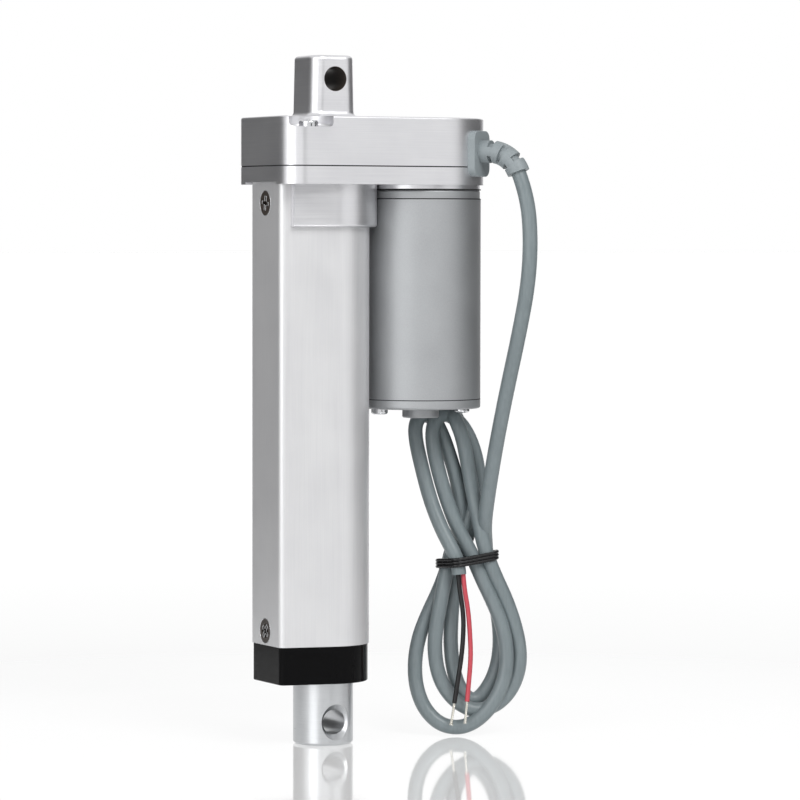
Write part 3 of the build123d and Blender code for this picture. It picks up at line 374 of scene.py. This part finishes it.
for level, screw_turn in zip(SCREW_LEVELS, SCREW_TURNS):
    c, s = cos(radians(screw_turn)), sin(radians(screw_turn))
    cross = [corner for corner in CROSS + CROSS[:1] for _ in range(2)]
    for outline in (ring_points(HEAD_R), [(c * y - s * z, s * y + c * z) for y, z in cross]):
        highlight_runs.append([Vector((edge_x, y, level + z)) * MM for y, z in outline])
# The screws' painted highlight, drawn as bright plated steel
wire("tube_screw_painted_highlights", highlight_runs, EDGE_R, "plated_steel", resolution=3)


def sleeve(name, outer, inner, length, slot_name, steps=64):
    """A thin sleeve along the y axis, about the origin."""
    points, faces = [], []
    for radius, y in ((outer, -0.5), (outer, 0.5), (inner, 0.5), (inner, -0.5)):
        for step in range(steps):
            a = 2 * pi * step / steps
            points.append(Vector((radius * cos(a), y * length, radius * sin(a))) * MM)
    for row in range(4):
        for step in range(steps):
            here, there = row * steps, (row + 1) % 4 * steps
            after = (step + 1) % steps
            faces.append((here + step, here + after, there + after, there + step))
    mesh = bpy.data.meshes.new(name)
    mesh.from_pydata(points, [], faces)
    mesh.shade_smooth()
    mesh.set_sharp_from_angle(angle=radians(40))
    return join_scene(bpy.data.objects.new(name, mesh), slot_name)


# The rear pin hole is dark inside: a thin dark sleeve lines the bore of the tang
LINING_OUTER, LINING_INNER, LINING_LENGTH = 4.09, 4.0, 17.6
sleeve("rear_pin_dark_sleeve", LINING_OUTER, LINING_INNER, LINING_LENGTH, "dark_screw")

# The cable: the route of the model's source, then the turns of the hank
HANK_TURN, HANK_LEAN = -26.0, 4.1
HANK_BACK, HANK_FOOT = 20.6, -220.4
CABLE_R, LEAD_R = 2.5, 0.8


def upright(across, behind, height):
    """A point in the hank's upright plane, in metres."""
    angle = radians(HANK_TURN)
    x = across * cos(angle) - behind * sin(angle)
    y = across * sin(angle) + behind * cos(angle)
    return Vector((x, y, height)) * MM


def leaning(across, front, height):
    """A point of the hank itself, which leans back about its foot."""
    slope = radians(HANK_LEAN)
    rise = height - HANK_FOOT
    behind = HANK_BACK + front * cos(slope) + rise * sin(slope)
    return upright(across, behind, HANK_FOOT - front * sin(slope) + rise * cos(slope))


# The boot: its turn about the motor's axis and its bend, how far from that axis the grommet's face
# is, the boot's straight stretch and its height; then the cable's straight stretch out of it
BOOT_TURN, BOOT_BEND, BOOT_BEND_R = -52.0, 68.0, 11.2
GROMMET_FACE, BOOT_STRAIGHT, BOOT_Z = 22.5, 2.8, -23.65
CABLE_STRAIGHT = 8.2
bend, boot_turn = radians(BOOT_BEND), radians(BOOT_TURN)
reach = GROMMET_FACE + BOOT_STRAIGHT + BOOT_BEND_R * sin(bend)
exit_height = BOOT_Z - BOOT_BEND_R * (1 - cos(bend))
exit_way = Vector((cos(bend) * cos(boot_turn), cos(bend) * sin(boot_turn), -sin(bend)))
exit_point = Vector((motor_x + reach * cos(boot_turn), reach * sin(boot_turn), exit_height)) * MM
free_run = [
    upright(68.9, -1.6, -52.0),
    upright(68.2, -0.6, -67.5),
    upright(65.2, 3.4, -85.0),
    upright(61.4, 8.6, -104.0),
    upright(58.3, 13.8, -121.5),
    upright(55.8, 18.4, -138.5),
    upright(54.6, 21.6, -149.0),
]
TURNS = [
    # down at the back right, round the small loop and up behind
    (55.2, 1.6, -156.0), (55.6, 2.6, -161.5), (57.0, 2.8, -168.0), (59.0, 2.8, -177.0),
    (60.2, 2.8, -186.0), (60.0, 2.9, -194.0), (58.2, 3.0, -201.0), (55.0, 3.0, -206.5),
    (51.6, 2.4, -209.4), (48.4, 1.8, -208.0), (45.6, 1.5, -203.6), (44.0, 1.5, -197.6),
    (43.3, 1.5, -190.0), (43.5, 1.6, -182.0), (44.1, 2.0, -174.0), (45.2, 2.6, -166.0),
    (47.0, 3.0, -160.0), (50.0, 3.4, -151.0), (51.2, 3.8, -142.0), (50.2, 4.2, -132.0),
    (48.2, 4.4, -123.0), (46.6, 4.2, -116.0), (45.0, 2.4, -112.2), (44.0, -0.6, -112.0),
    (45.6, -2.6, -115.4),
    # down in front, round the outer right and up on the left
    (47.4, -2.4, -120.4), (48.9, -2.2, -128.0), (50.3, -2.2, -136.6), (52.2, -2.4, -145.4),
    (54.2, -2.7, -155.4), (55.9, -2.8, -161.0), (58.8, -2.6, -168.0), (62.1, -2.0, -175.0),
    (64.9, -1.2, -183.0), (66.6, -0.6, -190.4), (66.8, -0.4, -197.0), (65.0, -0.4, -203.4),
    (61.6, -0.6, -208.4), (57.0, -0.8, -211.6), (51.0, -1.2, -212.6), (45.6, -1.6, -210.0),
    (41.4, -2.0, -205.4), (38.8, -2.2, -199.6), (37.7, -2.4, -192.0), (38.2, -2.6, -184.6),
    (39.6, -2.7, -177.0), (41.0, -2.7, -169.6), (42.4, -2.4, -162.6), (45.4, 0.4, -155.4),
    (49.4, 2.2, -148.0), (52.4, 2.6, -140.0), (53.0, 2.4, -132.4), (51.8, 2.2, -125.6),
    (49.6, 2.4, -119.4), (46.4, 2.4, -114.4), (42.0, 0.8, -111.8), (38.4, -1.0, -113.2),
    # down in front again, round the lowest loop and up behind
    (37.0, -2.0, -117.6), (37.3, -2.4, -123.4), (39.3, -2.5, -132.3), (41.9, -2.5, -141.1),
    (45.2, -2.6, -150.0), (50.6, -2.8, -160.1), (53.8, -2.8, -167.8), (57.0, -3.0, -174.4),
    (60.0, -3.0, -181.4), (61.7, -3.0, -188.0), (62.3, -3.0, -194.4), (61.6, -3.0, -201.0),
    (59.2, -3.0, -207.4), (55.4, -3.0, -213.0), (50.4, -3.0, -217.0), (45.2, -2.8, -218.4),
    (39.2, -2.4, -217.0), (34.2, -1.8, -211.8), (31.5, -1.0, -204.6), (31.0, 0.0, -196.4),
    (32.4, 1.2, -187.8), (35.6, 2.2, -179.8), (39.2, 2.7, -172.4), (41.9, 2.8, -165.4),
    (43.8, 2.8, -157.6), (46.4, 2.4, -150.0), (46.9, 2.0, -142.0), (45.2, 1.8, -133.0),
    (42.6, 1.8, -124.6), (40.2, 2.0, -118.0), (37.6, 1.6, -113.4), (34.0, 0.4, -111.9),
    (31.4, -1.0, -114.6),
    # the last run, down to the cut end of the jacket in front of the tie
    (31.2, -1.6, -120.0), (33.2, -2.4, -129.3), (36.2, -3.8, -141.1), (40.0, -5.6, -151.0),
    (44.0, -7.2, -158.6), (45.6, -7.4, -162.6), (45.9, -7.4, -166.4),
]
boot_run = [exit_point, exit_point + exit_way * CABLE_STRAIGHT * MM]
hank_run = [leaning(*p) for p in TURNS]
cable = wire("power_cable_whole", [boot_run + free_run + hank_run], CABLE_R, "cable_grey")
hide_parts("power_cable", "cable_hank")

# The leads leave the jacket's cut end in front of the hank
red_run = [
    (47.3, -7.4, -165.6), (47.6, -7.4, -170.6), (49.0, -7.4, -178.4), (49.6, -7.5, -186.4),
    (49.9, -7.6, -193.8), (49.3, -7.7, -201.8), (48.6, -7.7, -209.2),
]
black_run = [
    (45.6, -7.4, -165.6), (46.0, -7.4, -171.0), (47.1, -7.4, -177.4), (47.5, -7.5, -183.6),
    (46.9, -7.6, -193.0), (45.6, -7.7, -201.4), (44.3, -7.7, -209.8),
]
red_points = [leaning(*p) for p in red_run]
black_points = [leaning(*p) for p in black_run]
red_lead = wire("red_lead_wire", [red_points], LEAD_R, "lead_red")
black_lead = wire("black_lead_wire", [black_points], LEAD_R, "lead_black")
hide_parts("red_lead")
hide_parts("black_lead")

# Their bare ends: three bundles of strands, twisted once in 2 mm and loose over the last 2 mm. Each
# starts two steps inside its lead.
BARE, TWIST, BUNDLE_R, BUNDLES = 7.4, 2.0, 0.3, 3
STRAND_R, LOOSE_END = 0.2, 2.0
STRAND_STEPS, STEPS_INSIDE = 24, 2


def bare_end(name, points, slack):
    """Twisted strands that go on from the end of a lead."""
    way = (points[-1] - points[-2]).normalized()
    side = way.cross(Vector((0, 1, 0))).normalized()
    front = way.cross(side)
    runs = []
    for bundle in range(BUNDLES):
        run = []
        for step in range(-STEPS_INSIDE, STRAND_STEPS + 1):
            along = BARE * step / STRAND_STEPS
            angle = 2 * pi * (along / TWIST + bundle / BUNDLES)
            loose = BUNDLE_R + slack * max(0.0, along - BARE + LOOSE_END) ** 2
            away = side * cos(angle) + front * sin(angle)
            run.append(points[-1] + (way * along + away * loose) * MM)
        runs.append(run)
    return wire(name, runs, STRAND_R, "tinned_strands", resolution=4)


red_end = bare_end("red_bare_strands", red_points, 0.05)
black_end = bare_end("black_bare_strands", black_points, 0.08)
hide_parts("red_lead_tip")
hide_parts("black_lead_tip")

# The tie: covered wire wound three times round the hank's waist and the jacket's end. Each stretch of
# its outline has a centre, a corner radius, a first and a last angle and a number of parts.
TIE_R, TIE_PITCH, TIE_LAPS = 0.58, 1.05, 3
TIE_LEVEL, TIE_CLIMB, CLIMB_FROM = -162.9, 0.011, 44.0
TIE_OUTLINE = [
    (42.3, 2.5, 3.0, 90, 180, 4), (42.3, -2.5, 3.0, 180, 214, 2), (45.6, -7.4, 2.5, 214, 297, 5),
    (55.5, -2.5, 3.0, 297, 360, 3), (55.5, 2.5, 3.0, 0, 90, 4), (48.9, 2.5, 3.0, 90, 90, 0),
]
lap_points = sum(parts + 1 for *_, parts in TIE_OUTLINE)


def tie_rise(across):
    """The height of the tie's middle: level on the left, and climbing on the right."""
    return TIE_LEVEL + TIE_CLIMB * max(0.0, across - CLIMB_FROM) ** 2


tie_run = []
for lap in range(TIE_LAPS):
    for centre_x, centre_y, corner, first, last, parts in TIE_OUTLINE:
        for part in range(parts + 1):
            angle = radians(first + (last - first) * part / max(parts, 1))
            across = centre_x + (corner + TIE_R) * cos(angle)
            front = centre_y + (corner + TIE_R) * sin(angle)
            height = tie_rise(across) + TIE_PITCH * (len(tie_run) / lap_points - 1)
            tie_run.append(leaning(across, front, height))
tie = wire("wound_tie_wire", [tie_run], TIE_R, "tie_black", resolution=6)
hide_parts("cable_tie")


def curve_length(obj):
    """The real length of a curve's centreline."""
    data = obj.data.copy()
    data.bevel_depth = 0.0
    probe = bpy.data.objects.new("probe", data)
    scene.collection.objects.link(probe)
    mesh = probe.evaluated_get(bpy.context.evaluated_depsgraph_get()).to_mesh()
    points = [v.co.copy() for v in mesh.vertices]
    bpy.data.objects.remove(probe)
    return sum((b - a).length for a, b in zip(points, points[1:]))


cable_length = curve_length(cable)
red_length = curve_length(red_lead)
black_length = curve_length(black_lead)

# Stage: a thin white sheet for a floor, glossy round the part's foot and clear enough to show the
# rod below it when it is out, a white surround, dark cards that only shiny things reflect, soft lights
FLOOR_GAP = 0.05 * MM
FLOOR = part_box("rod_end")[0].z - FLOOR_GAP
FLOOR_HALF = 30.0
FOOT = (0.02, 0.0, FLOOR)
WHITE = (1, 1, 1, 1)
SHEET_WHITE = (0.92, 0.92, 0.92, 1)
CARD_BLACK = (0.02, 0.02, 0.021, 1)

# Distances from the foot, in metres: the gloss fades out from the first to the second, and the light
# that makes up for the lamps' fall grows from the second to the third
GLOSS_NEAR, GLOSS_FAR, LAMPS_END = 0.16, 0.3, 0.9
LIFT_NEAR, LIFT_FAR = 0.3, 0.74
GLOSS_IOR, GLOSS_ROUGH = 2.3, 0.06
# How clear the sheet is where it is seen, and how much of its white the surround gives as light
SEE_THROUGH = 0.72
SHADE_LEVEL = 0.32


def stage_look(name):
    """An empty material of the stage."""
    material = bpy.data.materials.new(name)
    material.use_nodes = True
    material.node_tree.nodes.clear()
    return material


def seen_white(tree):
    """One on the rays of the camera and on those that shiny or clear things send out, else nothing."""
    rays = add(tree, "LightPath")
    first = {0: rays.outputs["Is Camera Ray"], 1: rays.outputs["Is Glossy Ray"]}
    seen = add(tree, "Math", {"operation": "MAXIMUM"}, first)
    both = {0: seen.outputs[0], 1: rays.outputs["Is Transmission Ray"]}
    return add(tree, "Math", {"operation": "MAXIMUM"}, both).outputs[0]


def stage_sheet(name, corners, material):
    """A flat sheet of the stage."""
    mesh = bpy.data.meshes.new(name)
    mesh.from_pydata(corners, [], [(0, 1, 2, 3)])
    sheet = bpy.data.objects.new(name, mesh)
    scene.collection.objects.link(sheet)
    mesh.materials.append(material)
    return sheet


def white_sheet():
    """The floor: white paper with a little light of its own where it is seen, thin enough to see the
    rod through, clear to the lamps, and glossy near the foot."""
    material = stage_look("white_sheet")
    tree = material.node_tree
    place = add(tree, "NewGeometry").outputs["Position"]
    apart = add(tree, "VectorMath", {"operation": "DISTANCE", 1: FOOT}, {0: place}).outputs["Value"]
    seen = seen_white(tree)

    lift = {"From Min": GLOSS_FAR, "From Max": LAMPS_END, "To Min": LIFT_NEAR, "To Max": LIFT_FAR}
    lifted = add(tree, "MapRange", lift, {"Value": apart}).outputs[0]
    strength = add(tree, "Math", {"operation": "MULTIPLY"}, {0: lifted, 1: seen}).outputs[0]
    glow = add(tree, "Emission", {"Color": WHITE}, {"Strength": strength}).outputs[0]
    paper = add(tree, "BsdfDiffuse", {"Color": SHEET_WHITE}).outputs[0]
    bright = add(tree, "AddShader", links={0: paper, 1: glow}).outputs[0]

    clearness = add(tree, "Math", {"operation": "MULTIPLY", 1: SEE_THROUGH}, {0: seen}).outputs[0]
    to_lamp = add(tree, "LightPath").outputs["Is Shadow Ray"]
    thin = add(tree, "Math", {"operation": "MAXIMUM"}, {0: clearness, 1: to_lamp}).outputs[0]
    through = add(tree, "BsdfTransparent").outputs[0]
    sheet = add(tree, "MixShader", links={0: thin, 1: bright, 2: through}).outputs[0]

    polish = {"From Min": GLOSS_NEAR, "From Max": GLOSS_FAR, "To Min": 1.0, "To Max": 0.0}
    polished = add(tree, "MapRange", polish, {"Value": apart}).outputs[0]
    edge_on = add(tree, "Fresnel", {"IOR": GLOSS_IOR}).outputs[0]
    mirrored = add(tree, "Math", {"operation": "MULTIPLY"}, {0: polished, 1: edge_on}).outputs[0]
    mirror = add(tree, "BsdfGlossy", {"Color": WHITE, "Roughness": GLOSS_ROUGH}).outputs[0]
    whole = add(tree, "MixShader", links={0: mirrored, 1: sheet, 2: mirror}).outputs[0]
    add(tree, "OutputMaterial", links={"Surface": whole})
    return material


half = FLOOR_HALF
floor_corners = [(-half, -half, FLOOR), (half, -half, FLOOR), (half, half, FLOOR), (-half, half, FLOOR)]
stage_sheet("floor", floor_corners, white_sheet())

# The cards stand round the part, each from a first to a last bearing in degrees, at a distance. They
# fade out to their sides and top, so that no edge of theirs shows, and go on below the floor for the
# rod that is out.
CARDS = {"card_left": (-188, -96, 0.5), "card_right": (46, 126, 0.5), "card_front": (-1, 15, 1.0)}
CARD_TOP, CARD_FOOT = 0.32, FLOOR - 0.14
CARD_SIDE_FADE, CARD_TOP_FADE = 0.2, 0.68
CARD_COVER = 0.91
SHEET_HALF = 0.5 * MM


def dark_card():
    """The cards' black. A ray that starts on the glossy floor or on its other side passes them, so
    that the floor stays white. Incoming serves only to find the point of the part or the floor that
    a reflection starts from, whatever the view."""
    material = stage_look("dark_card")
    tree = material.node_tree
    across = add(tree, "SeparateXYZ", links={0: add(tree, "TexCoord").outputs["Generated"]}).outputs
    from_side = add(tree, "Math", {"operation": "PINGPONG", 1: 0.5}, {0: across["X"]}).outputs[0]
    side_fade = {"interpolation_type": "SMOOTHSTEP", "From Max": CARD_SIDE_FADE}
    sides = add(tree, "MapRange", side_fade, {"Value": from_side}).outputs[0]
    top_fade = {"interpolation_type": "SMOOTHSTEP", "From Min": 1.0, "From Max": CARD_TOP_FADE}
    top = add(tree, "MapRange", top_fade, {"Value": across["Z"]}).outputs[0]
    soft = add(tree, "Math", {"operation": "MULTIPLY"}, {0: sides, 1: top}).outputs[0]

    hit = add(tree, "NewGeometry").outputs
    travelled = {"Vector": hit["Incoming"], "Scale": add(tree, "LightPath").outputs["Ray Length"]}
    back = add(tree, "VectorMath", {"operation": "SCALE"}, travelled).outputs[0]
    start = add(tree, "VectorMath", {"operation": "ADD"}, {0: hit["Position"], 1: back}).outputs[0]
    start_height = add(tree, "SeparateXYZ", links={0: start}).outputs["Z"]
    hit_height = add(tree, "SeparateXYZ", links={0: hit["Position"]}).outputs["Z"]
    over_sheet = {"operation": "GREATER_THAN", 1: FLOOR + SHEET_HALF}
    above = add(tree, "Math", over_sheet, {0: start_height}).outputs[0]
    under_sheet = {"operation": "LESS_THAN", 1: FLOOR - SHEET_HALF}
    below = add(tree, "Math", under_sheet, {0: start_height}).outputs[0]
    hit_above = add(tree, "Math", {"operation": "GREATER_THAN", 1: FLOOR}, {0: hit_height}).outputs[0]
    same_side = add(tree, "Mix", {"data_type": "FLOAT"}, {0: hit_above, 2: below, 3: above}).outputs[0]

    cover = add(tree, "Math", {"operation": "MULTIPLY"}, {0: soft, 1: same_side}).outputs[0]
    thick = add(tree, "Math", {"operation": "MULTIPLY", 1: CARD_COVER}, {0: cover}).outputs[0]
    black = add(tree, "BsdfDiffuse", {"Color": CARD_BLACK}).outputs[0]
    clear = add(tree, "BsdfTransparent").outputs[0]
    faded = add(tree, "MixShader", links={0: thick, 1: clear, 2: black}).outputs[0]
    add(tree, "OutputMaterial", links={"Surface": faded})
    return material


card_look = dark_card()
for name, (first, last, distance) in CARDS.items():
    ends = [Vector((sin(radians(a)) * distance, -cos(radians(a)) * distance, 0)) for a in (first, last)]
    heights = (CARD_FOOT, CARD_FOOT, CARD_TOP, CARD_TOP)
    card = stage_sheet(name, [(e.x, e.y, z) for e, z in zip(ends + ends[::-1], heights)], card_look)
    card.visible_camera = False
    card.visible_diffuse = False
    card.visible_shadow = False

world = bpy.data.worlds.new("studio")
scene.world = world
world.use_nodes = True
tree = world.node_tree
tree.nodes.clear()
brightness = add(tree, "MapRange", {"To Min": SHADE_LEVEL, "To Max": 1.0}, {"Value": seen_white(tree)})
glow = add(tree, "Background", {"Color": WHITE}, {"Strength": brightness.outputs[0]})
add(tree, "OutputWorld", links={"Surface": glow.outputs[0]})

# What the lights face, in metres
MIDDLE = Vector((0.02, 0, -0.11))


def softbox(name, azimuth, elevation, distance, size, watts):
    """A soft light that faces the middle of the object."""
    data = bpy.data.lights.new(name, "AREA")
    data.shape = "RECTANGLE"
    data.size, data.size_y = size
    data.energy = watts
    light = bpy.data.objects.new(name, data)
    a, e = radians(azimuth), radians(elevation)
    way = Vector((sin(a) * cos(e), -cos(a) * cos(e), sin(e)))
    light.location = MIDDLE + way * distance
    light.rotation_euler = way.to_track_quat("Z", "Y").to_euler()
    scene.collection.objects.link(light)


softbox("key_light", -64, 20, 1.1, (0.7, 1.0), 4.6)
softbox("fill_light", 4, 42, 1.3, (0.6, 0.6), 9)

scene.view_settings.view_transform = "Standard"
